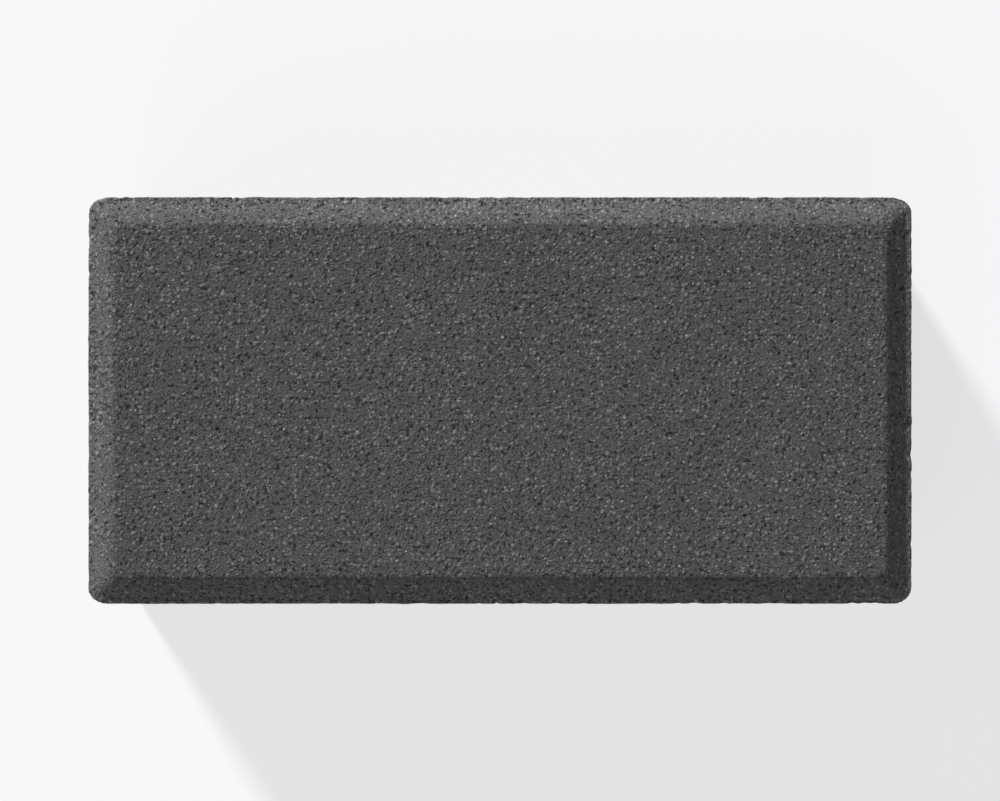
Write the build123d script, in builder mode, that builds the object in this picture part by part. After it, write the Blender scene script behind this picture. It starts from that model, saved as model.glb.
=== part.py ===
"""Rectangular concrete paving stone with a chamfered wearing face and spacer nibs.

Millimetres. The stone lies as it is laid: the bed face is on Z = 0, the wearing
face points up, the long side runs along X, and the origin is the middle of the bed.
"""

import os

from build123d import *

# Laying module: the stone and its share of the joint on every side
module_length = 200.0
module_width = 100.0
joint_width = 2.0

# Block
thickness = 60.0
corner_radius = 4.5
arris_radius = 0.4
bed_edge_radius = 0.8

# Chamfer round the wearing face, and the narrow level land left outside its foot
land_width = 1.3
chamfer_width = 5.6
chamfer_depth = 4.2
face_edge_radius = 1.5
mitre_radius = 4.0

# Spacer nibs: shallow round ribs on the sides that run out below the wearing face
nib_width = 9.0
nib_drop = 15.0
nib_run_out = 2.5
nibs_on_long_side = 2
nibs_on_short_side = 1

# The block is one joint smaller than its module, and a nib stands out by half a joint,
# as far as the edge of the module
block_length = module_length - joint_width
block_width = module_width - joint_width
nib_projection = joint_width / 2
nib_height = thickness - nib_drop

# The chamfer planes run on at their slope under the land, as far as the sides
shoulder_height = thickness - chamfer_depth
hip_width = chamfer_width + land_width
hip_depth = chamfer_depth * hip_width / chamfer_width

# A nib is the part of an upright post that stands out of the side. The axis of the
# post lies inside the block, and its tapered head goes on inward past the side
nib_radius = (nib_width**2 / 4 + nib_projection**2) / (2 * nib_projection)
nib_axis_depth = nib_radius - nib_projection
head_radius = nib_axis_depth - nib_projection
head_height = nib_height + nib_run_out

with BuildPart() as nib_post:
    with BuildSketch(Plane.XZ):
        with BuildLine():
            Polyline(
                (0, 0),
                (nib_radius, 0),
                (nib_radius, nib_height - nib_run_out),
                (head_radius, head_height),
                (0, head_height),
                close=True,
            )
        make_face()
    revolve(axis=Axis.Z)

with BuildPart() as stone:
    # Four planes fall away from the wearing face and meet in mitres
    Box(block_length, block_width, thickness, align=(Align.CENTER, Align.CENTER, Align.MIN))
    wearing_face = stone.faces().sort_by(Axis.Z)[-1]
    chamfer(wearing_face.edges(), hip_width, hip_depth, reference=wearing_face)
    with BuildSketch():
        RectangleRounded(block_length, block_width, corner_radius)
    extrude(amount=thickness, mode=Mode.INTERSECT)

    # The mitres, the only straight edges that lie along no axis, are well rounded, and
    # the edge of the wearing face then runs round the corners in one line
    mitres = stone.edges().filter_by(GeomType.LINE)
    for axis in (Axis.X, Axis.Y, Axis.Z):
        mitres = mitres.filter_by(axis, reverse=True)
    fillet(mitres, mitre_radius)
    wearing_face = stone.faces().sort_by(Axis.Z)[-1]
    fillet(wearing_face.edges(), face_edge_radius)

    # The raised field above the shoulder stands on the body of the block, whose top
    # shows round the foot of the chamfer as the land, with a crisp arris
    split(bisect_by=Plane.XY.offset(shoulder_height), keep=Keep.TOP)
    with BuildSketch():
        RectangleRounded(block_length, block_width, corner_radius)
    extrude(amount=shoulder_height)
    land = stone.faces().filter_by(Axis.Z).sort_by(Axis.Z)[-2]
    fillet(land.outer_wire().edges(), arris_radius)

    # Nibs in the middle of equal lengths of each side
    with GridLocations(
        module_length / nibs_on_long_side,
        block_width - 2 * nib_axis_depth,
        nibs_on_long_side,
        2,
    ):
        add(nib_post.part)
    with GridLocations(
        block_length - 2 * nib_axis_depth,
        module_width / nibs_on_short_side,
        2,
        nibs_on_short_side,
    ):
        add(nib_post.part)

    # The edge of the bed, nibs and all
    bed = stone.faces().sort_by(Axis.Z)[0]
    fillet(bed.edges(), bed_edge_radius)

stone.part.label = "paving_stone"

os.makedirs("parts", exist_ok=True)
export_step(stone.part, "parts/paving_stone.step")
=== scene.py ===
"""Concrete paving stone: the pressed, sandy finish of a chamfered charcoal block.

The file is laid out as an add-on. One operator models the stone as a dense mesh with
its sand grain, pin holes and crumbly arris, and another sets it on a pale floor under
soft light. Metres. The bed lies on Z = 0 and the wearing face points up.
"""

import math

import bmesh
import bpy
import numpy as np
from bpy.props import FloatProperty, FloatVectorProperty, IntProperty, PointerProperty
from bpy.types import Operator, Panel, PropertyGroup
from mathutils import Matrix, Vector


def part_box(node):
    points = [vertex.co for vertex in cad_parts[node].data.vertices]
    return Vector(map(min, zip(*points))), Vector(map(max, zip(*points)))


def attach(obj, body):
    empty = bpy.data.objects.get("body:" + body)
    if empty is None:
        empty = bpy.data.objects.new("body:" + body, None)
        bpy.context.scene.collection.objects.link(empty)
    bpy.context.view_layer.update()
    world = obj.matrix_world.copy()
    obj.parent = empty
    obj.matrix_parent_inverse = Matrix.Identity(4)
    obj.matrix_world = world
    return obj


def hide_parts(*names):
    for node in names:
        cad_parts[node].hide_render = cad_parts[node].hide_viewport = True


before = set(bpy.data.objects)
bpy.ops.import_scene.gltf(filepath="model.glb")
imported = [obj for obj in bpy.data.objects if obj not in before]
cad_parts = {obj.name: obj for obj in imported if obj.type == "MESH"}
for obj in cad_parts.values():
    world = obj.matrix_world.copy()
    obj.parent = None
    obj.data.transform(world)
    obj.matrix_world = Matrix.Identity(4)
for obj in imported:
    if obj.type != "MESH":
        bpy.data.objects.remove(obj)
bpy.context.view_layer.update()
stone_low, stone_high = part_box("paving_stone")

bl_info = {
    "name": "Concrete Paving Stone",
    "version": (1, 0, 0),
    "blender": (4, 5, 0),
    "location": "3D View > Sidebar > Paving",
    "description": "Casts a chamfered charcoal paving stone and sets its stage",
    "category": "Object",
}


class StoneSizes(PropertyGroup):
    """Sizes of the stone, with the overall ones taken from the frame"""

    module_length: FloatProperty(
        name="Module length", description="Length over the nibs, which fills the laying module",
        default=stone_high.x - stone_low.x, unit="LENGTH", precision=4)
    module_width: FloatProperty(
        name="Module width", description="Width over the nibs, which fills the laying module",
        default=stone_high.y - stone_low.y, unit="LENGTH", precision=4)
    thickness: FloatProperty(
        name="Thickness", description="Height from the bed to the wearing face",
        default=stone_high.z - stone_low.z, unit="LENGTH", precision=4)
    joint_width: FloatProperty(
        name="Joint width", description="How much smaller than its laying module the block is",
        default=0.002, unit="LENGTH", precision=4)
    corner_radius: FloatProperty(
        name="Corner radius", description="Radius of the upright corners",
        default=0.0045, unit="LENGTH", precision=4)
    land_width: FloatProperty(
        name="Land width", description="Narrow level land outside the foot of the chamfer",
        default=0.0013, unit="LENGTH", precision=4)
    chamfer_width: FloatProperty(
        name="Chamfer width", description="Width of the chamfer in plan",
        default=0.0056, unit="LENGTH", precision=4)
    chamfer_depth: FloatProperty(
        name="Chamfer depth", description="Fall of the chamfer below the wearing face",
        default=0.0042, unit="LENGTH", precision=4)
    face_edge_width: FloatProperty(
        name="Face edge width", description="Width of the soft edge round the wearing face",
        default=0.0005, unit="LENGTH", precision=4)
    mitre_width: FloatProperty(
        name="Mitre width", description="Width of the soft edge down each mitre of the chamfer",
        default=0.0019, unit="LENGTH", precision=4)
    arris_radius: FloatProperty(
        name="Arris radius", description="Radius of the edge between the land and the sides",
        default=0.0004, unit="LENGTH", precision=4)
    bed_edge_radius: FloatProperty(
        name="Bed edge radius", description="Radius of the edge round the bed",
        default=0.0008, unit="LENGTH", precision=4)
    nib_width: FloatProperty(
        name="Nib width", description="Width of a spacer nib where it leaves the side",
        default=0.009, unit="LENGTH", precision=4)
    nib_drop: FloatProperty(
        name="Nib drop", description="Distance of a nib's head below the wearing face",
        default=0.015, unit="LENGTH", precision=4)
    nib_run_out: FloatProperty(
        name="Nib run-out", description="Height over which the head of a nib runs out into the side",
        default=0.0025, unit="LENGTH", precision=4)


class PressedRelief(PropertyGroup):
    """Relief that pressing and stripping leave on the concrete"""

    mesh_step: FloatProperty(
        name="Mesh step", description="Spacing of the mesh on the wearing face",
        default=0.00053, unit="LENGTH", precision=5)
    triangle_limit: IntProperty(
        name="Triangles", description="Triangles of the finished stone", default=192000)
    sand_size: FloatProperty(
        name="Sand size", description="Spacing of the sand grains",
        default=0.0018, unit="LENGTH", precision=5)
    sand_depth: FloatProperty(
        name="Sand depth", description="Depth of the dimples between the sand grains",
        default=0.00004, unit="LENGTH", precision=5)
    fleck_size: FloatProperty(
        name="Fleck size", description="Spacing of the fine sand that only the finish shows",
        default=0.0007, unit="LENGTH", precision=5)
    fleck_depth: FloatProperty(
        name="Fleck depth", description="Depth between the grains of the fine sand",
        default=0.00021, unit="LENGTH", precision=5)
    grit_size: FloatProperty(
        name="Grit size", description="Spacing of the coarser grit",
        default=0.0032, unit="LENGTH", precision=5)
    grit_depth: FloatProperty(
        name="Grit depth", description="Depth of the hollows between the grit",
        default=0.00003, unit="LENGTH", precision=5)
    open_grain: FloatProperty(
        name="Open grain",
        description="How many times deeper sand and grit lie bare on the sides and the bed",
        default=3.0)
    swell_size: FloatProperty(
        name="Swell size", description="Length of the faint waves in the surface",
        default=0.028, unit="LENGTH", precision=4)
    swell_depth: FloatProperty(
        name="Swell depth", description="Depth of the faint waves in the surface",
        default=0.00012, unit="LENGTH", precision=5)
    hole_spacing: FloatProperty(
        name="Hole spacing", description="Spacing of the pin holes",
        default=0.0042, unit="LENGTH", precision=4)
    hole_radius: FloatProperty(
        name="Hole radius", description="Radius of the largest pin holes",
        default=0.0008, unit="LENGTH", precision=5)
    hole_depth: FloatProperty(
        name="Hole depth", description="Depth of the pin holes",
        default=0.0005, unit="LENGTH", precision=5)
    drag_width: FloatProperty(
        name="Drag width", description="Spacing of the upright marks that stripping leaves on the sides",
        default=0.004, unit="LENGTH", precision=4)
    drag_length: FloatProperty(
        name="Drag length", description="Length of the upright stripping marks",
        default=0.05, unit="LENGTH", precision=4)
    drag_depth: FloatProperty(
        name="Drag depth", description="Depth of the upright stripping marks",
        default=0.00035, unit="LENGTH", precision=5)
    burr_height: FloatProperty(
        name="Burr height", description="Height of the crumbly burr along the arris",
        default=0.00025, unit="LENGTH", precision=5)
    crumble_size: FloatProperty(
        name="Crumble size", description="Length of the bites out of the burr and the edges",
        default=0.0045, unit="LENGTH", precision=4)
    crumble_depth: FloatProperty(
        name="Crumble depth", description="Depth of the bites out of the edges",
        default=0.0003, unit="LENGTH", precision=5)
    crumble_reach: FloatProperty(
        name="Crumble reach", description="How far below the land the arris crumbles",
        default=0.0014, unit="LENGTH", precision=4)


class ConcreteColours(PropertyGroup):
    """Colours and tones of the charcoal concrete"""

    cement: FloatVectorProperty(
        name="Cement", description="Charcoal cement paste that coats the sand",
        default=(0.073, 0.073, 0.0734), subtype="COLOR", min=0, max=1)
    pale_sand: FloatVectorProperty(
        name="Pale sand", description="Sand grains that the cement has worn off",
        default=(0.25, 0.248, 0.242), subtype="COLOR", min=0, max=1)
    dark_sand: FloatVectorProperty(
        name="Dark sand", description="Dark grains of the aggregate",
        default=(0.030, 0.030, 0.031), subtype="COLOR", min=0, max=1)
    # Painted shade: the colour that darkens the pin holes, where shade falls in them
    painted_pin_hole_shade: FloatVectorProperty(
        name="Pin hole", description="Bottom of the pin holes",
        default=(0.020, 0.020, 0.020), subtype="COLOR", min=0, max=1)
    chamfer_lift: FloatProperty(
        name="Chamfer lift",
        description="How much paler than the wearing face the foot of the chamfer is",
        default=0.28, subtype="FACTOR", min=0, max=1)
    # Painted highlight: how much paler the land is painted, standing in for light along the outer edge
    painted_land_highlight: FloatProperty(
        name="Land lift", description="How much paler still the land is on average",
        default=0.5, subtype="FACTOR", min=0, max=1)


class StudioStage(PropertyGroup):
    """Floor, light and camera"""

    floor_radius: FloatProperty(
        name="Floor radius", description="Radius of the round floor", default=40.0, unit="LENGTH")
    floor_gap: FloatProperty(
        name="Floor gap", description="Gap that keeps the floor clear of the bed",
        default=0.00005, unit="LENGTH", precision=5)
    floor_colour: FloatVectorProperty(
        name="Floor", description="Pale floor", default=(0.8, 0.8, 0.8), subtype="COLOR", min=0, max=1)
    floor_glow: FloatProperty(
        name="Floor glow", description="Share of plain white in the floor as the camera sees it",
        default=0.7, subtype="FACTOR", min=0, max=1)
    key_azimuth: FloatProperty(
        name="Key azimuth", description="Direction of the key light, from +X towards +Y",
        default=math.radians(122), subtype="ANGLE")
    key_elevation: FloatProperty(
        name="Key elevation", description="Height of the key light above the floor",
        default=math.radians(20.5), subtype="ANGLE")
    key_softness: FloatProperty(
        name="Key softness", description="Width of the key light as the stone sees it",
        default=math.radians(7), subtype="ANGLE")
    key_share: FloatProperty(
        name="Key share", description="Share of the light on the wearing face that the key gives",
        default=0.67, subtype="FACTOR", min=0, max=1)
    front_azimuth: FloatProperty(
        name="Front azimuth", description="Direction of the front light, from +X towards +Y",
        default=math.radians(-120), subtype="ANGLE")
    front_elevation: FloatProperty(
        name="Front elevation", description="Height of the front light above the floor",
        default=math.radians(35), subtype="ANGLE")
    front_softness: FloatProperty(
        name="Front softness", description="Width of the front light as the stone sees it",
        default=math.radians(60), subtype="ANGLE")
    front_share: FloatProperty(
        name="Front share",
        description="Share of the light on the wearing face that the front light gives",
        default=0.18, subtype="FACTOR", min=0, max=1)
    camera_height: FloatProperty(
        name="Camera height", description="Height of the camera above the wearing face",
        default=0.6, unit="LENGTH")
    frame_share: FloatProperty(
        name="Frame share", description="Share of the picture's width that the stone takes up",
        default=0.84, subtype="FACTOR", min=0, max=1)


class Blank:
    """Sizes of the plain casting that follow from the driving ones"""

    def __init__(self, sizes):
        self.length = sizes.module_length - sizes.joint_width
        self.width = sizes.module_width - sizes.joint_width
        self.shoulder = sizes.thickness - sizes.chamfer_depth
        self.nib_projection = sizes.joint_width / 2
        self.nib_height = sizes.thickness - sizes.nib_drop
        half_nib = sizes.nib_width / 2
        self.nib_radius = (half_nib**2 + self.nib_projection**2) / (2 * self.nib_projection)
        self.nib_inset = self.nib_radius - self.nib_projection
        self.nib_head_radius = self.nib_inset - self.nib_projection


# Modelling by hand

# Columns of a table of vectors
X, Y, Z = range(3)

# Heights closer than this are the same
SLACK = 1e-6

# Cuts across round edges, and along round outlines
CORNER_CUTS = 12
MITRE_CUTS = 8
EDGE_CUTS = 4
NIB_EDGE_CUTS = 3
OUTLINE_CUTS = 128


def work_on(piece):
    """Select one piece alone and make it active."""
    bpy.ops.object.select_all(action="DESELECT")
    piece.select_set(True)
    bpy.context.view_layer.objects.active = piece


def edit(piece, kind, wanted):
    """Open a piece in edit mode with only the wanted edges or faces selected."""
    work_on(piece)
    bpy.ops.object.mode_set(mode="EDIT")
    bpy.ops.mesh.select_mode(type=kind)
    bpy.ops.mesh.select_all(action="DESELECT")
    open_mesh = bmesh.from_edit_mesh(piece.data)
    for element in open_mesh.edges if kind == "EDGE" else open_mesh.faces:
        if wanted(element):
            element.select_set(True)
    open_mesh.select_flush_mode()
    bmesh.update_edit_mesh(piece.data)


def close_edit():
    """Leave edit mode."""
    bpy.ops.object.mode_set(mode="OBJECT")


def at_height(height):
    """A test for the edges or faces that lie at a height all over."""
    return lambda element: all(abs(vert.co.z - height) < SLACK for vert in element.verts)


def climbs(edge):
    """Tell whether the two ends of an edge lie at different heights."""
    return abs(edge.verts[1].co.z - edge.verts[0].co.z) >= SLACK


def bevel_edges(piece, wanted, width, cuts):
    """Round the wanted edges of a piece."""
    edit(piece, "EDGE", wanted)
    bpy.ops.mesh.bevel(offset=width, segments=cuts, affect="EDGES")
    close_edit()


def add_block(name, length, width, low, high):
    """Add a box, centred on the origin in plan."""
    bpy.ops.object.select_all(action="DESELECT")
    bpy.ops.mesh.primitive_cube_add(
        size=1, location=(0, 0, (low + high) / 2), scale=(length, width, high - low))
    bpy.ops.object.transform_apply(location=True, rotation=True, scale=True)
    block = bpy.context.active_object
    block.name = name
    return block


def apply_modifier(piece, modifier):
    """Apply a modifier to its piece."""
    work_on(piece)
    bpy.ops.object.modifier_apply(modifier=modifier.name)


def fuse(piece, other):
    """Join a second closed solid into a piece, and use it up."""
    union = piece.modifiers.new("union", "BOOLEAN")
    union.operation = "UNION"
    union.solver = "EXACT"
    union.object = other
    apply_modifier(piece, union)
    bpy.data.objects.remove(other)


def read_vectors(items, name):
    """A vector of every vertex or face of a mesh, one row for each."""
    found = np.empty(len(items) * 3)
    items.foreach_get(name, found)
    return found.reshape(-1, 3)


def shape_body(sizes, blank):
    """The block up to the land: round upright corners, crisp arris, soft bed edge."""
    body = add_block("paving_stone_cast", blank.length, blank.width, 0, blank.shoulder)
    bevel_edges(body, climbs, sizes.corner_radius, CORNER_CUTS)
    bevel_edges(body, at_height(blank.shoulder), sizes.arris_radius, EDGE_CUTS)
    bevel_edges(body, at_height(0), sizes.bed_edge_radius, EDGE_CUTS)
    return body


def shape_field(sizes, blank):
    """The raised wearing face: a hipped block with soft edges, sunk a little into the body."""
    # The chamfer planes run on below the land, down to a foot that is then cut off
    slope = sizes.chamfer_width / sizes.chamfer_depth
    root = sizes.chamfer_depth / 2
    spread = 2 * (root * slope - sizes.land_width)
    foot_length = blank.length + spread
    foot_width = blank.width + spread
    border = sizes.land_width + sizes.chamfer_width
    face_length = blank.length - 2 * border
    face_width = blank.width - 2 * border
    field = add_block(
        "raised_field", foot_length, foot_width, blank.shoulder - root, sizes.thickness)
    edit(field, "FACE", at_height(sizes.thickness))
    bpy.ops.transform.resize(value=(face_length / foot_length, face_width / foot_width, 1))
    close_edit()
    bevel_edges(field, climbs, sizes.mitre_width, MITRE_CUTS)
    bevel_edges(field, at_height(sizes.thickness), sizes.face_edge_width, EDGE_CUTS)
    edit(field, "FACE", lambda face: True)
    sunk = sizes.arris_radius / 2
    bpy.ops.mesh.bisect(
        plane_co=(0, 0, blank.shoulder - sunk), plane_no=(0, 0, 1), use_fill=True, clear_inner=True)
    close_edit()
    return field


def shape_nib_post(sizes, blank):
    """An upright post with a tapered head, of which one edge stands out of a side."""
    bpy.ops.object.select_all(action="DESELECT")
    shaft = blank.nib_height - sizes.nib_run_out
    bpy.ops.mesh.primitive_cylinder_add(
        vertices=OUTLINE_CUTS, radius=blank.nib_radius, depth=shaft, location=(0, 0, shaft / 2))
    bpy.ops.object.transform_apply(location=True, rotation=True, scale=True)
    post = bpy.context.active_object

    # Half-way up the head its taper passes the side, and the nib has run out
    edit(post, "FACE", at_height(shaft))
    bpy.ops.mesh.extrude_region_move(
        TRANSFORM_OT_translate={"value": (0, 0, 2 * sizes.nib_run_out)})
    head = blank.nib_head_radius / blank.nib_radius
    bpy.ops.transform.resize(value=(head, head, 1))
    close_edit()
    bevel_edges(post, at_height(0), sizes.bed_edge_radius, NIB_EDGE_CUTS)
    return post


def nib_places(sizes, blank):
    """Post axes: two along each long side and one in the middle of each short side."""
    along_x = blank.length / 2 - blank.nib_inset
    along_y = blank.width / 2 - blank.nib_inset
    for side in (-1, 1):
        yield side * along_x, 0
        for half in (-1, 1):
            yield half * sizes.module_length / 4, side * along_y


def stand_nibs(body, sizes, blank):
    """Copy the post to each of its places and join it to the body."""
    pattern = shape_nib_post(sizes, blank)
    for x, y in nib_places(sizes, blank):
        work_on(pattern)
        bpy.ops.object.duplicate()
        bpy.ops.transform.translate(value=(x, y, 0))
        bpy.ops.object.transform_apply(location=True, rotation=True, scale=True)
        fuse(body, bpy.context.active_object)
    bpy.data.objects.remove(pattern)


# Node trees

# Share of a pin hole's radius that is level bottom
HOLE_BOTTOM_SHARE = 0.4


def feed(tree, socket, value):
    """Link a node's output to a socket, or set the socket to a plain value."""
    if isinstance(value, bpy.types.NodeSocket):
        tree.links.new(value, socket)
    else:
        socket.default_value = value


def add_node(tree, kind, inputs=None, **options):
    """Add a node with its options, and feed its inputs by name or number."""
    node = tree.nodes.new(kind)
    for option, value in options.items():
        setattr(node, option, value)
    for socket, value in (inputs or {}).items():
        feed(tree, node.inputs[socket], value)
    return node


def calc(tree, operation, *values, clamp=False):
    """Add a Math node and give back its result."""
    inputs = dict(enumerate(values))
    return add_node(tree, "ShaderNodeMath", inputs, operation=operation, use_clamp=clamp).outputs[0]


def step_between(tree, value, start, end):
    """A smooth step from 0 at start to 1 at end."""
    inputs = {"Value": value, "From Min": start, "From Max": end}
    return add_node(tree, "ShaderNodeMapRange", inputs, interpolation_type="SMOOTHSTEP").outputs[0]


def noise(tree, vector, scale, detail=2.0, roughness=0.5):
    """Soft noise from 0 to 1."""
    inputs = {"Vector": vector, "Scale": scale, "Detail": detail, "Roughness": roughness}
    return add_node(tree, "ShaderNodeTexNoise", inputs).outputs[0]


def cells(tree, vector, size):
    """Cells of a size: the distance from a cell's middle, and two numbers drawn for each cell."""
    scale = calc(tree, "DIVIDE", 1.0, size)
    node = add_node(tree, "ShaderNodeTexVoronoi", {"Vector": vector, "Scale": scale})
    split = add_node(tree, "ShaderNodeSeparateXYZ", {0: node.outputs["Color"]})
    return node.outputs["Distance"], split.outputs["X"], split.outputs["Y"]


def upright_part(tree, vector):
    """The height of a place, or how far a normal points up."""
    return add_node(tree, "ShaderNodeSeparateXYZ", {0: vector}).outputs["Z"]


def drawn_upright(tree, vector, times):
    """Coordinates in which a pattern comes out some times as tall as it is wide."""
    inputs = {0: vector, 1: (1, 1, 1 / times)}
    return add_node(tree, "ShaderNodeVectorMath", inputs, operation="MULTIPLY").outputs[0]


def new_group(name, kind, inputs, outputs):
    """Start a node group with named sockets, and give back the tree and its two end nodes."""
    tree = bpy.data.node_groups.new(name, kind)
    for direction, sockets in (("INPUT", inputs), ("OUTPUT", outputs)):
        for socket, socket_type in sockets.items():
            tree.interface.new_socket(socket, in_out=direction, socket_type=socket_type)
    return tree, tree.nodes.new("NodeGroupInput"), tree.nodes.new("NodeGroupOutput")


def hole_mask(tree, vector, spacing, radius):
    """Pin holes of mixed sizes: 1 in the middle of a hole and 0 outside it."""
    distance, size, _ = cells(tree, vector, spacing)
    reach = calc(tree, "DIVIDE", calc(tree, "MULTIPLY", radius, size), spacing)
    return step_between(tree, distance, reach, calc(tree, "MULTIPLY", reach, HOLE_BOTTOM_SHARE))


# Relief of the concrete

# Noise levels at which hollows, bites and the burr begin, and at which they are whole
SAND_LEVELS = (0.62, 0.30)
GRIT_LEVELS = (0.65, 0.32)
DRAG_LEVELS = (0.70, 0.35)
BITE_LEVELS = (0.54, 0.70)
BURR_LEVELS = (0.25, 0.55)

# Upright parts of the normal at which the bed begins, and at which it is whole
BED_LEVELS = (-0.5, -0.9)


def spots(tree, vector, size, levels, detail=2.0, roughness=0.5):
    """Spots in noise of a size: 0 at the first level and 1 at the second."""
    return step_between(tree, noise(tree, vector, 1 / size, detail, roughness), *levels)


def build_relief(sizes, blank, relief):
    """Geometry nodes that press, drag and crumble the surface, always inwards but for the burr."""
    shape = {"Geometry": "NodeSocketGeometry"}
    tree, start, end = new_group("Concrete Relief", "GeometryNodeTree", shape, shape)
    position = add_node(tree, "GeometryNodeInputPosition").outputs[0]
    normal = add_node(tree, "GeometryNodeInputNormal").outputs[0]
    height = upright_part(tree, position)

    # Zones: the pressed face with its chamfer, the open bed, and the stripped sides between
    face = step_between(tree, height, blank.shoulder - sizes.arris_radius, blank.shoulder)
    bed = step_between(tree, upright_part(tree, normal), *BED_LEVELS)
    side = calc(tree, "SUBTRACT", calc(tree, "SUBTRACT", 1.0, face), bed, clamp=True)

    # Sand and grit, levelled on top by the press, with dimples between
    sand = spots(tree, position, relief.sand_size, SAND_LEVELS, roughness=0.6)
    grit = spots(tree, position, relief.grit_size, GRIT_LEVELS, detail=1.0)
    depth = calc(tree, "MULTIPLY", sand, relief.sand_depth)
    depth = calc(tree, "MULTIPLY_ADD", grit, relief.grit_depth, depth)
    opened = calc(tree, "MULTIPLY_ADD", face, 1 - relief.open_grain, relief.open_grain)
    depth = calc(tree, "MULTIPLY", depth, opened)

    # Faint waves, pin holes, and upright drag marks on the sides
    swell = noise(tree, position, 1 / relief.swell_size, detail=1.0)
    depth = calc(tree, "MULTIPLY_ADD", swell, relief.swell_depth, depth)
    holes = hole_mask(tree, position, relief.hole_spacing, relief.hole_radius)
    depth = calc(tree, "MULTIPLY_ADD", holes, relief.hole_depth, depth)
    drawn = drawn_upright(tree, position, relief.drag_length / relief.drag_width)
    drag = calc(tree, "MULTIPLY", spots(tree, drawn, relief.drag_width, DRAG_LEVELS), side)
    depth = calc(tree, "MULTIPLY_ADD", drag, relief.drag_depth, depth)

    # Bites out of the arris and out of the hem above the bed
    bite = spots(tree, position, relief.crumble_size, BITE_LEVELS)
    reach = relief.crumble_reach
    below = step_between(tree, height, blank.shoulder - reach, blank.shoulder - reach / 2)
    above = step_between(tree, height, blank.shoulder + reach / 4, blank.shoulder)
    arris = calc(tree, "MULTIPLY", below, above)
    hem_top = 3 * sizes.bed_edge_radius
    hem = calc(tree, "MULTIPLY", side, step_between(tree, height, hem_top, 0.0))
    bitten = calc(tree, "MULTIPLY", calc(tree, "MAXIMUM", arris, hem), bite)
    depth = calc(tree, "MULTIPLY_ADD", bitten, relief.crumble_depth, depth)

    # The burr stands up along the arris where nothing has bitten it away
    ragged = spots(tree, position, relief.sand_size, BURR_LEVELS)
    burr = calc(tree, "MULTIPLY", arris, calc(tree, "SUBTRACT", ragged, bite, clamp=True))
    burr_rise = calc(tree, "MULTIPLY", burr, relief.burr_height)
    rise = add_node(tree, "ShaderNodeCombineXYZ", {"Z": burr_rise}).outputs[0]

    inward = calc(tree, "MULTIPLY", depth, -1.0)
    pressed = add_node(
        tree, "ShaderNodeVectorMath", {0: normal, "Scale": inward}, operation="SCALE").outputs[0]
    offset = add_node(
        tree, "ShaderNodeVectorMath", {0: pressed, 1: rise}, operation="ADD").outputs[0]
    moved = add_node(
        tree, "GeometryNodeSetPosition", {"Geometry": start.outputs[0], "Offset": offset})
    feed(tree, end.inputs[0], moved.outputs[0])
    return tree


def press_surface(piece, sizes, blank, relief):
    """Give the plain casting an even dense mesh and its relief."""
    remesh = piece.modifiers.new("even_mesh", "REMESH")
    remesh.mode = "VOXEL"
    remesh.voxel_size = relief.mesh_step
    apply_modifier(piece, remesh)
    relief_tree = build_relief(sizes, blank, relief)
    pressing = piece.modifiers.new("pressing", "NODES")
    pressing.node_group = relief_tree
    apply_modifier(piece, pressing)
    bpy.data.node_groups.remove(relief_tree)


def thin_hidden_sides(piece, blank, relief):
    """Thin the mesh below the land, and leave the wearing face as dense as it is."""
    heights = read_vectors(piece.data.vertices, "co")[:, Z]
    lower = np.flatnonzero(heights < blank.shoulder - relief.crumble_reach)
    thinned = piece.vertex_groups.new(name="thinned")
    thinned.add(lower.tolist(), 1.0, "REPLACE")
    thinning = piece.modifiers.new("thinning", "DECIMATE")
    thinning.vertex_group = thinned.name
    thinning.use_collapse_triangulate = True
    thinning.ratio = relief.triangle_limit / (2 * len(piece.data.polygons))
    apply_modifier(piece, thinning)
    piece.vertex_groups.clear()


# Concrete finishes

# Radii of sand grains as shares of their spacing, and the share of a radius that is level top
SMALLEST_GRAIN_SHARE = 0.25
GRAIN_SPREAD_SHARE = 0.4
GRAIN_TOP_SHARE = 0.15

# Coarse grains against the grain size, the shares of spots that hold a coarse or a fine
# grain, and how many times finer than the grain size the paste and its pits are
COARSE_TIMES = 1.8
COARSE_SHARE = 0.75
FINE_SHARE = 0.9
PASTE_FINENESS = 1.1
PIT_FINENESS = 0.75
PIT_LEVELS = (0.52, 0.68)

# What each adds to the height of the sand
PASTE_HEIGHT = 1.6
COARSE_HEIGHT = 0.9
FINE_HEIGHT = 0.5
PIT_HEIGHT = -0.9

# Height of the sand, and draw of a coarse grain, that leave the tone of the cement as it is; lower sand
# is painted darker as shade, higher sand paler as light
PLAIN_HEIGHT = 1.0
PLAIN_DRAW = 0.45

# Distances from the middle of a bare fleck, as shares of its spacing, where it ends and where
# it is whole, and flecks against the grain size
FLECK_LEVELS = (0.6, 0.3)
PALE_FLECK_TIMES = 0.8
DARK_FLECK_TIMES = 0.9

# Clouds in the cement: the whole stone's, the patches of painted highlight on the land, and the bed's
# patches
NOISE_MIDDLE = 0.5
CLOUD_SIZE = 0.035
CLOUD_CONTRAST = 0.32
LAND_HIGHLIGHT_PATCH_SIZE = 0.006
LAND_HIGHLIGHT_PATCH_CONTRAST = 1.6
BED_PATCH_SIZE = 0.012
BED_PATCH_CONTRAST = 0.4
STREAK_CONTRAST = 0.7

# Roughness at the foot of the sand, what the height of the sand adds to it, and the faint gloss
FOOT_ROUGHNESS = 0.95
ROUGHNESS_BY_HEIGHT = -0.15
SPECULAR_LEVEL = 0.3


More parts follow.
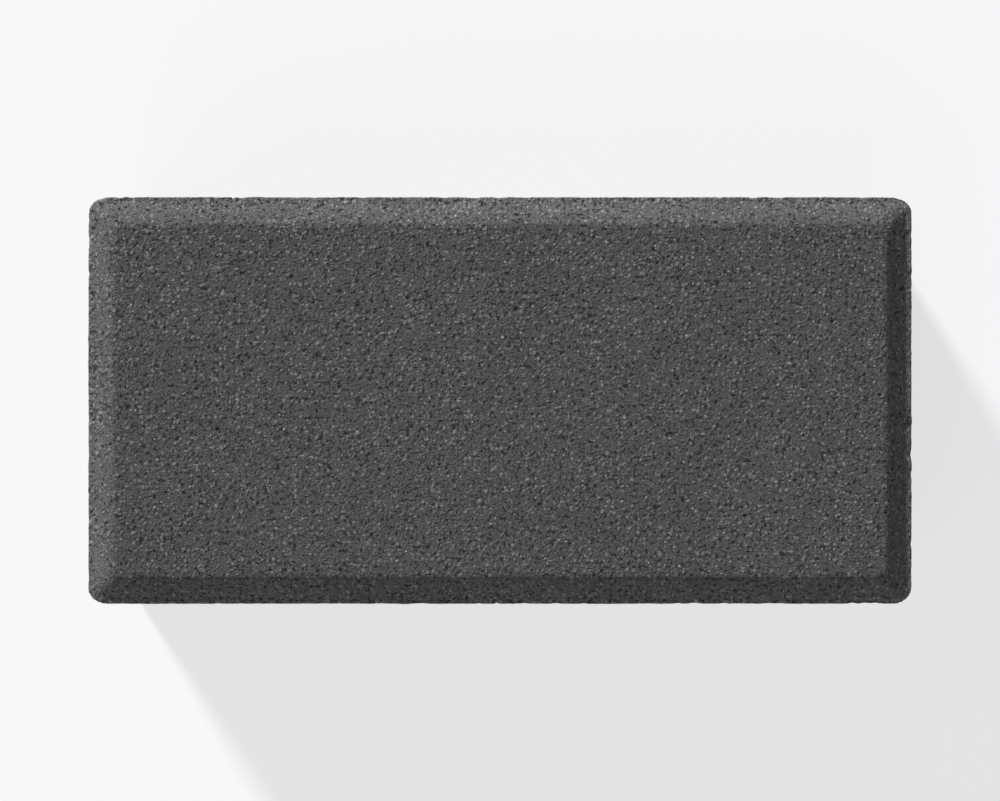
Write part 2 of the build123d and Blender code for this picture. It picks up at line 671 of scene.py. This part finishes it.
def grains(tree, vector, size, share):
    """Round grains of mixed sizes on a share of the spots: their height, and a draw for each."""
    distance, lot, draw = cells(tree, vector, size)
    radius = calc(tree, "MULTIPLY_ADD", draw, GRAIN_SPREAD_SHARE, SMALLEST_GRAIN_SHARE)
    dome = step_between(tree, distance, radius, calc(tree, "MULTIPLY", radius, GRAIN_TOP_SHARE))
    chosen = calc(tree, "LESS_THAN", lot, share)
    return calc(tree, "MULTIPLY", dome, chosen), draw


def sand_grain_group():
    """Sand in cement: scattered grains of two sizes in a rough paste with small open pits, painted
    darker in its pits and hollows as shade and paler on its grain tops as light, over each coarse
    grain's own tint.
    """
    tree, start, end = new_group(
        "Sand Grain", "ShaderNodeTree",
        {"Vector": "NodeSocketVector", "Grain Size": "NodeSocketFloat", "Contrast": "NodeSocketFloat"},
        {"Tone": "NodeSocketFloat", "Height": "NodeSocketFloat"})
    vector = start.outputs["Vector"]
    size = start.outputs["Grain Size"]
    coarse, draw = grains(tree, vector, calc(tree, "MULTIPLY", size, COARSE_TIMES), COARSE_SHARE)
    fine, _ = grains(tree, vector, size, FINE_SHARE)
    paste = noise(tree, vector, calc(tree, "DIVIDE", PASTE_FINENESS, size), roughness=0.7)
    hollow = noise(tree, vector, calc(tree, "DIVIDE", PIT_FINENESS, size), roughness=0.6)
    pits = step_between(tree, hollow, *PIT_LEVELS)
    height = calc(tree, "MULTIPLY", paste, PASTE_HEIGHT)
    height = calc(tree, "MULTIPLY_ADD", coarse, COARSE_HEIGHT, height)
    height = calc(tree, "MULTIPLY_ADD", fine, FINE_HEIGHT, height)
    height = calc(tree, "MULTIPLY_ADD", pits, PIT_HEIGHT, height)
    # Painted shade and light: sand below the plain height is darker and sand above it paler, on top of
    # each coarse grain's own tint
    own_tint = calc(tree, "MULTIPLY", coarse, calc(tree, "SUBTRACT", draw, PLAIN_DRAW))
    tint_and_painted_shade = calc(tree, "ADD", own_tint, calc(tree, "SUBTRACT", height, PLAIN_HEIGHT))
    tone = calc(tree, "MULTIPLY_ADD", tint_and_painted_shade, start.outputs["Contrast"], 1.0)
    feed(tree, end.inputs["Tone"], tone)
    feed(tree, end.inputs["Height"], height)


def mineral_flecks_group():
    """Single bare grains: a mask that picks a share of the grains."""
    tree, start, end = new_group(
        "Mineral Flecks", "ShaderNodeTree",
        {"Vector": "NodeSocketVector", "Grain Size": "NodeSocketFloat", "Share": "NodeSocketFloat"},
        {"Mask": "NodeSocketFloat"})
    distance, lot, strength = cells(tree, start.outputs["Vector"], start.outputs["Grain Size"])
    chosen = calc(tree, "LESS_THAN", lot, start.outputs["Share"])
    fleck = calc(tree, "MULTIPLY", step_between(tree, distance, *FLECK_LEVELS), strength)
    feed(tree, end.inputs["Mask"], calc(tree, "MULTIPLY", chosen, fleck))


def pin_holes_group():
    """Pin holes that lie where the relief has them."""
    tree, start, end = new_group(
        "Pin Holes", "ShaderNodeTree",
        {"Vector": "NodeSocketVector", "Spacing": "NodeSocketFloat", "Radius": "NodeSocketFloat"},
        {"Mask": "NodeSocketFloat"})
    sockets = start.outputs
    mask = hole_mask(tree, sockets["Vector"], sockets["Spacing"], sockets["Radius"])
    feed(tree, end.inputs["Mask"], mask)


def cement_clouding_group():
    """Clouds where the cement lies thicker or thinner."""
    tree, start, end = new_group(
        "Cement Clouding", "ShaderNodeTree",
        {"Vector": "NodeSocketVector", "Cloud Size": "NodeSocketFloat", "Contrast": "NodeSocketFloat"},
        {"Tone": "NodeSocketFloat"})
    scale = calc(tree, "DIVIDE", 1.0, start.outputs["Cloud Size"])
    cloud = noise(tree, start.outputs["Vector"], scale, detail=4.0, roughness=0.55)
    swing = calc(tree, "SUBTRACT", cloud, NOISE_MIDDLE)
    lift = calc(tree, "MULTIPLY", swing, start.outputs["Contrast"])
    feed(tree, end.inputs["Tone"], calc(tree, "ADD", lift, 1.0))


def build_shared_groups():
    """Build the effects that all the concrete finishes share."""
    sand_grain_group()
    mineral_flecks_group()
    pin_holes_group()
    cement_clouding_group()


def place_group(tree, name, vector, **values):
    """Place a shared group with values of its own."""
    inputs = {socket.replace("_", " ").title(): value for socket, value in values.items()}
    inputs["Vector"] = vector
    return add_node(tree, "ShaderNodeGroup", inputs, node_tree=bpy.data.node_groups[name])


def cloud_tone(tree, vector, size, contrast):
    """The tone of clouds of a size."""
    group = place_group(tree, "Cement Clouding", vector, cloud_size=size, contrast=contrast)
    return group.outputs["Tone"]


def fleck_mask(tree, vector, size, share):
    """A mask of bare flecks of a size."""
    return place_group(tree, "Mineral Flecks", vector, grain_size=size, share=share).outputs["Mask"]


def tinted(tree, colour, tone):
    """A colour made lighter or darker by a tone."""
    node = add_node(tree, "ShaderNodeVectorMath", {0: colour, "Scale": tone}, operation="SCALE")
    return node.outputs[0]


def mixed(tree, mask, under, over):
    """One colour laid over another by a mask."""
    inputs = {"Factor": mask, "A": under, "B": (*over, 1)}
    return add_node(tree, "ShaderNodeMix", inputs, data_type="RGBA").outputs["Result"]


def paint_concrete(
        name, colours, relief, own_tone, contrast, bare_share, coarser=1.0, deeper=1.0, drawn_out=1.0):
    """A charcoal concrete: sand toned by its grains and by painted shade and light from its height, bare
    flecks, pin holes painted dark as painted shade, and faint clouds.

    own_tone adds the nodes of the finish's own tone to a tree, and gives back their result.
    The sand is so many times coarser, deeper and drawn out upright than plain fine sand.
    """
    material = bpy.data.materials.new(name)
    material.use_nodes = True
    tree = material.node_tree
    shader = tree.nodes["Principled BSDF"]
    vector = add_node(tree, "ShaderNodeTexCoord").outputs["Object"]
    grain_size = coarser * relief.fleck_size
    sand = place_group(
        tree, "Sand Grain", drawn_upright(tree, vector, drawn_out),
        grain_size=grain_size, contrast=contrast)
    pale = fleck_mask(tree, vector, PALE_FLECK_TIMES * grain_size, bare_share)
    dark = fleck_mask(tree, vector, DARK_FLECK_TIMES * grain_size, bare_share)
    holes = place_group(
        tree, "Pin Holes", vector, spacing=relief.hole_spacing, radius=relief.hole_radius)

    # The sand's tone holds painted shade in its pits and hollows and painted light on its grain tops
    clouds = cloud_tone(tree, vector, CLOUD_SIZE, CLOUD_CONTRAST)
    tone = calc(tree, "MULTIPLY", sand.outputs["Tone"], clouds)
    tone = calc(tree, "MULTIPLY", tone, own_tone(tree, vector))
    colour = tinted(tree, colours.cement[:], tone)
    colour = mixed(tree, dark, colour, colours.dark_sand)
    colour = mixed(tree, pale, colour, colours.pale_sand)
    # Painted shade: the pin holes are painted nearly black
    colour = mixed(tree, holes.outputs["Mask"], colour, colours.painted_pin_hole_shade)
    feed(tree, shader.inputs["Base Color"], colour)

    height = sand.outputs["Height"]
    roughness = calc(tree, "MULTIPLY_ADD", height, ROUGHNESS_BY_HEIGHT, FOOT_ROUGHNESS)
    feed(tree, shader.inputs["Roughness"], roughness)
    feed(tree, shader.inputs["Specular IOR Level"], SPECULAR_LEVEL)
    bump = add_node(
        tree, "ShaderNodeBump",
        {"Height": height, "Strength": 1.0, "Distance": deeper * relief.fleck_depth})
    feed(tree, shader.inputs["Normal"], bump.outputs[0])
    return material


def paint_pressed_face(sizes, blank, colours, relief):
    """The wearing face, with a chamfer paler towards its foot, and a land painted paler still in patches
    as painted highlight.
    """

    def paler_chamfer_and_painted_land_highlight(tree, vector):
        """Paler down the chamfer, and paler still in patches on the land as painted highlight."""
        height = upright_part(tree, vector)
        fall = step_between(tree, height, sizes.thickness, blank.shoulder)
        # Painted highlight: the land is painted paler in patches, as if lit along the outer edge
        land = step_between(tree, height, blank.shoulder + sizes.arris_radius, blank.shoulder)
        patches = cloud_tone(tree, vector, LAND_HIGHLIGHT_PATCH_SIZE, LAND_HIGHLIGHT_PATCH_CONTRAST)
        land = calc(tree, "MULTIPLY", land, patches)
        lift = calc(tree, "MULTIPLY_ADD", fall, colours.chamfer_lift, 1.0)
        return calc(tree, "MULTIPLY_ADD", land, colours.painted_land_highlight, lift)

    return paint_concrete(
        "pressed_face", colours, relief, paler_chamfer_and_painted_land_highlight, contrast=0.76, bare_share=0.12)


def paint_stripped_side(colours, relief):
    """The sides, streaked upright by the mould."""

    def streaks(tree, vector):
        """Upright streaks as wide as the drag marks."""
        drawn = drawn_upright(tree, vector, relief.drag_length / relief.drag_width)
        return cloud_tone(tree, drawn, relief.drag_width, STREAK_CONTRAST)

    return paint_concrete(
        "stripped_side", colours, relief, streaks, contrast=0.42, bare_share=0.07,
        coarser=1.1, deeper=1.3, drawn_out=1.25)


def paint_open_bed(colours, relief):
    """The bed, more open and sandier."""

    def patches(tree, vector):
        """Small patches all over."""
        return cloud_tone(tree, vector, BED_PATCH_SIZE, BED_PATCH_CONTRAST)

    return paint_concrete(
        "open_bed", colours, relief, patches, contrast=0.6, bare_share=0.1, coarser=1.4, deeper=1.6)


# Zones of the finished mesh

TOP, SIDE, BED = range(3)

# Upright part of the normal below which a low face belongs to the bed
BED_FACING = -0.75


def read_numbers(items, name):
    """A whole number of every corner or face of a mesh."""
    found = np.empty(len(items), int)
    items.foreach_get(name, found)
    return found


def side_insets(centres, blank):
    """How far faces lie inside the short sides, and inside the long sides."""
    return blank.length / 2 - abs(centres[:, X]), blank.width / 2 - abs(centres[:, Y])


def face_zones(mesh, sizes, blank):
    """The zone of each face: top, side or bed."""
    centres = read_vectors(mesh.polygons, "center")
    normals = read_vectors(mesh.polygons, "normal")
    hem = 2 * sizes.bed_edge_radius
    low = centres[:, Z] < hem
    inner = np.minimum(*side_insets(centres, blank)) > hem
    zones = np.full(len(centres), SIDE)
    zones[low & (inner | (normals[:, Z] < BED_FACING))] = BED
    zones[centres[:, Z] > blank.shoulder - sizes.arris_radius / 2] = TOP
    return zones


def lay_out_bake_map(mesh, zones, sizes, blank):
    """Six flat charts for the bake, the wearing face at the largest scale."""
    centres = read_vectors(mesh.polygons, "center")
    from_end, from_flank = side_insets(centres, blank)
    on_end = from_end < from_flank
    positive = np.where(on_end, centres[:, X], centres[:, Y]) > 0
    end = (zones == SIDE) & on_end
    flank = (zones == SIDE) & ~on_end

    # The top, the bed and the two flanks lie side by side, with the ends above bed and flanks
    length, width, height = sizes.module_length, sizes.module_width, sizes.thickness
    gap = 0.002
    top_scale, bed_scale, side_scale = 1.3, 0.8, 0.9
    bed_at = top_scale * width + gap
    flank_at = bed_at + bed_scale * width + gap
    far_flank_at = flank_at + side_scale * height + gap
    ends_up = side_scale * length + gap
    far_end_at = bed_at + side_scale * width + gap
    charts = (
        (zones == TOP, Y, X, top_scale, 0, 0),
        (zones == BED, Y, X, bed_scale, bed_at, 0),
        (flank & positive, Z, X, side_scale, flank_at, 0),
        (flank & ~positive, Z, X, side_scale, far_flank_at, 0),
        (end & positive, Y, Z, side_scale, bed_at, ends_up),
        (end & ~positive, Y, Z, side_scale, far_end_at, ends_up),
    )
    sheet = np.array((far_flank_at + side_scale * height, top_scale * length))
    lowest = np.array((-length / 2, -width / 2, 0))
    corner_verts = read_numbers(mesh.loops, "vertex_index")
    corner_counts = read_numbers(mesh.polygons, "loop_total")
    spots_on_stone = read_vectors(mesh.vertices, "co")[corner_verts] - lowest
    uv = np.zeros((len(corner_verts), 2))
    for faces, across, up, scale, left, foot in charts:
        corners = np.repeat(faces, corner_counts)
        uv[corners, 0] = left + scale * spots_on_stone[corners, across]
        uv[corners, 1] = foot + scale * spots_on_stone[corners, up]
    layer = mesh.uv_layers.new(name="OFBake")
    layer.uv.foreach_set("vector", (uv / sheet).ravel())


# Stage

WHITE = (1, 1, 1, 1)


def seen_directly(tree):
    """1 for what the camera sees itself, in a mirror or through glass."""
    rays = add_node(tree, "ShaderNodeLightPath").outputs
    mirrored = calc(tree, "MAXIMUM", rays["Is Glossy Ray"], rays["Is Transmission Ray"])
    return calc(tree, "MAXIMUM", rays["Is Camera Ray"], mirrored)


def paint_floor(stage):
    """A pale floor that the camera sees as nearly white, with the shadow left in it."""
    material = bpy.data.materials.new("pale_floor")
    material.use_nodes = True
    tree = material.node_tree
    tree.nodes.clear()
    glow = calc(tree, "MULTIPLY", seen_directly(tree), stage.floor_glow)
    matt = add_node(tree, "ShaderNodeBsdfDiffuse", {"Color": (*stage.floor_colour, 1)})
    white = add_node(tree, "ShaderNodeEmission", {"Color": WHITE, "Strength": 1.0})
    seen = add_node(tree, "ShaderNodeMixShader", {0: glow, 1: matt.outputs[0], 2: white.outputs[0]})
    add_node(tree, "ShaderNodeOutputMaterial", {"Surface": seen.outputs[0]})
    return material


def lay_floor(stage):
    """Add a wide round floor just under the bed."""
    bpy.ops.object.select_all(action="DESELECT")
    bpy.ops.mesh.primitive_circle_add(
        vertices=OUTLINE_CUTS, radius=stage.floor_radius, fill_type="NGON",
        location=(0, 0, stone_low.z - stage.floor_gap))
    floor = bpy.context.active_object
    floor.name = "floor"
    floor.data.materials.append(paint_floor(stage))


def add_lamp(name, azimuth, elevation, softness, share):
    """Add a far, wide lamp that gives the wearing face a share of its light."""
    bpy.ops.object.light_add(type="SUN")
    lamp = bpy.context.active_object
    lamp.name = name
    level = math.cos(elevation)
    towards = Vector((level * math.cos(azimuth), level * math.sin(azimuth), math.sin(elevation)))
    lamp.rotation_euler = towards.to_track_quat("Z", "Y").to_euler()
    lamp.data.angle = softness
    lamp.data.energy = math.pi * share / math.sin(elevation)


def light_studio(stage):
    """A low key from the upper left, a weak wide light from the front and an even fill.

    The backdrop has the tone of the lit floor, so that no horizon shows.
    """
    add_lamp(
        "key_light", stage.key_azimuth, stage.key_elevation, stage.key_softness, stage.key_share)
    add_lamp(
        "front_light", stage.front_azimuth, stage.front_elevation, stage.front_softness,
        stage.front_share)
    world = bpy.data.worlds.new("studio")
    bpy.context.scene.world = world
    world.use_nodes = True
    tree = world.node_tree
    tree.nodes.clear()
    fill_share = 1 - stage.key_share - stage.front_share
    fill = add_node(tree, "ShaderNodeBackground", {"Color": WHITE, "Strength": fill_share})
    lit_floor = [stage.floor_glow + (1 - stage.floor_glow) * part for part in stage.floor_colour]
    backdrop = add_node(tree, "ShaderNodeBackground", {"Color": (*lit_floor, 1), "Strength": 1.0})
    seen = add_node(
        tree, "ShaderNodeMixShader",
        {0: seen_directly(tree), 1: fill.outputs[0], 2: backdrop.outputs[0]})
    add_node(tree, "ShaderNodeOutputWorld", {"Surface": seen.outputs[0]})


def hang_camera(sizes, stage):
    """A camera that looks straight down, with the long side level in the picture."""
    bpy.ops.object.camera_add(
        location=(0, 0, sizes.thickness + stage.camera_height), rotation=(0, 0, 0))
    camera = bpy.context.active_object
    camera.name = "camera"
    picture_width = sizes.module_length / stage.frame_share
    camera.data.lens = camera.data.sensor_width * stage.camera_height / picture_width
    bpy.context.scene.camera = camera


# Operators and panel


class PAVING_OT_cast_stone(Operator):
    """Cast the paving stone: model it, press its surface and give it its concrete"""

    bl_idname = "paving.cast_stone"
    bl_label = "Cast paving stone"

    def execute(self, context):
        sizes = context.scene.stone_sizes
        relief = context.scene.stone_relief
        colours = context.scene.stone_colours
        blank = Blank(sizes)
        stone = shape_body(sizes, blank)
        fuse(stone, shape_field(sizes, blank))
        stand_nibs(stone, sizes, blank)
        press_surface(stone, sizes, blank, relief)
        thin_hidden_sides(stone, blank, relief)
        work_on(stone)
        bpy.ops.object.shade_smooth()
        zones = face_zones(stone.data, sizes, blank)
        lay_out_bake_map(stone.data, zones, sizes, blank)
        build_shared_groups()
        stone.data.materials.append(paint_pressed_face(sizes, blank, colours, relief))
        stone.data.materials.append(paint_stripped_side(colours, relief))
        stone.data.materials.append(paint_open_bed(colours, relief))
        stone.data.polygons.foreach_set("material_index", zones.astype("int32"))
        stone.data.update()
        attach(stone, "root")
        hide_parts("paving_stone")
        return {"FINISHED"}


class PAVING_OT_set_stage(Operator):
    """Set the stage: floor, light and camera"""

    bl_idname = "paving.set_stage"
    bl_label = "Set stage"

    def execute(self, context):
        stage = context.scene.stone_stage
        lay_floor(stage)
        light_studio(stage)
        hang_camera(context.scene.stone_sizes, stage)
        context.scene.view_settings.view_transform = "Standard"
        return {"FINISHED"}


class VIEW3D_PT_paving_stone(Panel):
    """Settings and operators of the paving stone"""

    bl_label = "Paving Stone"
    bl_space_type = "VIEW_3D"
    bl_region_type = "UI"
    bl_category = "Paving"

    def draw(self, context):
        for settings_name in settings_groups:
            settings = getattr(context.scene, settings_name)
            box = self.layout.box()
            for name in settings.__annotations__:
                box.prop(settings, name)
        self.layout.operator(PAVING_OT_cast_stone.bl_idname)
        self.layout.operator(PAVING_OT_set_stage.bl_idname)


settings_groups = {
    "stone_sizes": StoneSizes,
    "stone_relief": PressedRelief,
    "stone_colours": ConcreteColours,
    "stone_stage": StudioStage,
}
classes = (
    *settings_groups.values(), PAVING_OT_cast_stone, PAVING_OT_set_stage, VIEW3D_PT_paving_stone)


def register():
    """Register the classes and hang the settings on the scene."""
    for item in classes:
        bpy.utils.register_class(item)
    for name, group in settings_groups.items():
        setattr(bpy.types.Scene, name, PointerProperty(type=group))


def unregister():
    """Take the settings and the classes away again."""
    for name in settings_groups:
        delattr(bpy.types.Scene, name)
    for item in reversed(classes):
        bpy.utils.unregister_class(item)


def main():
    """Build the stone and its stage."""
    register()
    bpy.ops.paving.cast_stone()
    bpy.ops.paving.set_stage()


if __name__ == "__main__":
    main()
